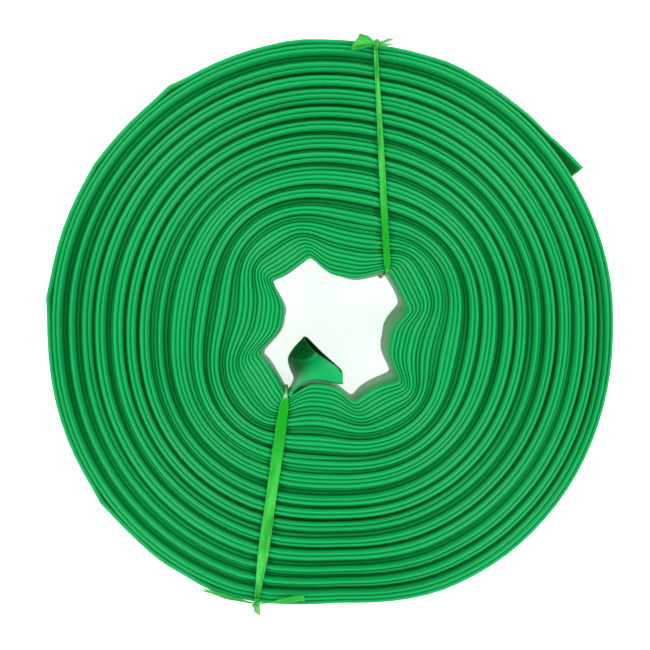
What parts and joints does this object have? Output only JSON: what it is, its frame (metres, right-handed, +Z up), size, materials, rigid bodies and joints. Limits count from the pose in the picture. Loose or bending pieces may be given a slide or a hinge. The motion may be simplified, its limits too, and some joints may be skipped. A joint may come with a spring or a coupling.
{
  "type": "coiled flat soaker hose",
  "caption": "Flat green soaker hose wound into a tight disc-shaped coil with an open folded core, held by two ribbon ties, with both plain-cut ends free.",
  "frame": {"origin": "on the coil's axis, on the plane it rests on", "axes": "+Z up along the coil's axis; +Y from the core towards the single-loop tie's side of the rim; the free outer end is in the +X +Y quarter; +X completes the right-handed frame"},
  "size_m": [0.2993, 0.3068, 0.0473],
  "materials": {
    "hose": "smooth, slightly glossy soft plastic with fine lengthwise lines",
    "tie": "thin shiny streaked ribbon"
  },
  "bodies": {
    "coil": {"hose_coil": "hose", "top_tie_band": "tie", "top_tie_knot": "tie", "top_tie_loop": "tie", "top_tie_ends": "tie", "bottom_tie_band": "tie", "bottom_tie_knot": "tie", "bottom_tie_long_end": "tie", "bottom_tie_short_end": "tie", "bottom_tie_point": "tie"},
    "outer_end": {"hose_outer_end": "hose"},
    "inner_end": {"hose_inner_end": "hose"}
  },
  "joints": [
    {"name": "outer_end_flex", "type": "hinge", "parent": "coil", "child": "outer_end", "pos_m": [0.09446, 0.11896, 0], "axis": [0, 0, 1], "range_deg": [-1, 60], "stiffness_Nm_per_rad": 0.003},
    {"name": "inner_end_flex", "type": "hinge", "parent": "coil", "child": "inner_end", "pos_m": [-0.0204, -0.0353, 0], "axis": [0, 0, 1], "range_deg": [0, 10], "stiffness_Nm_per_rad": 0.003}
  ]
}
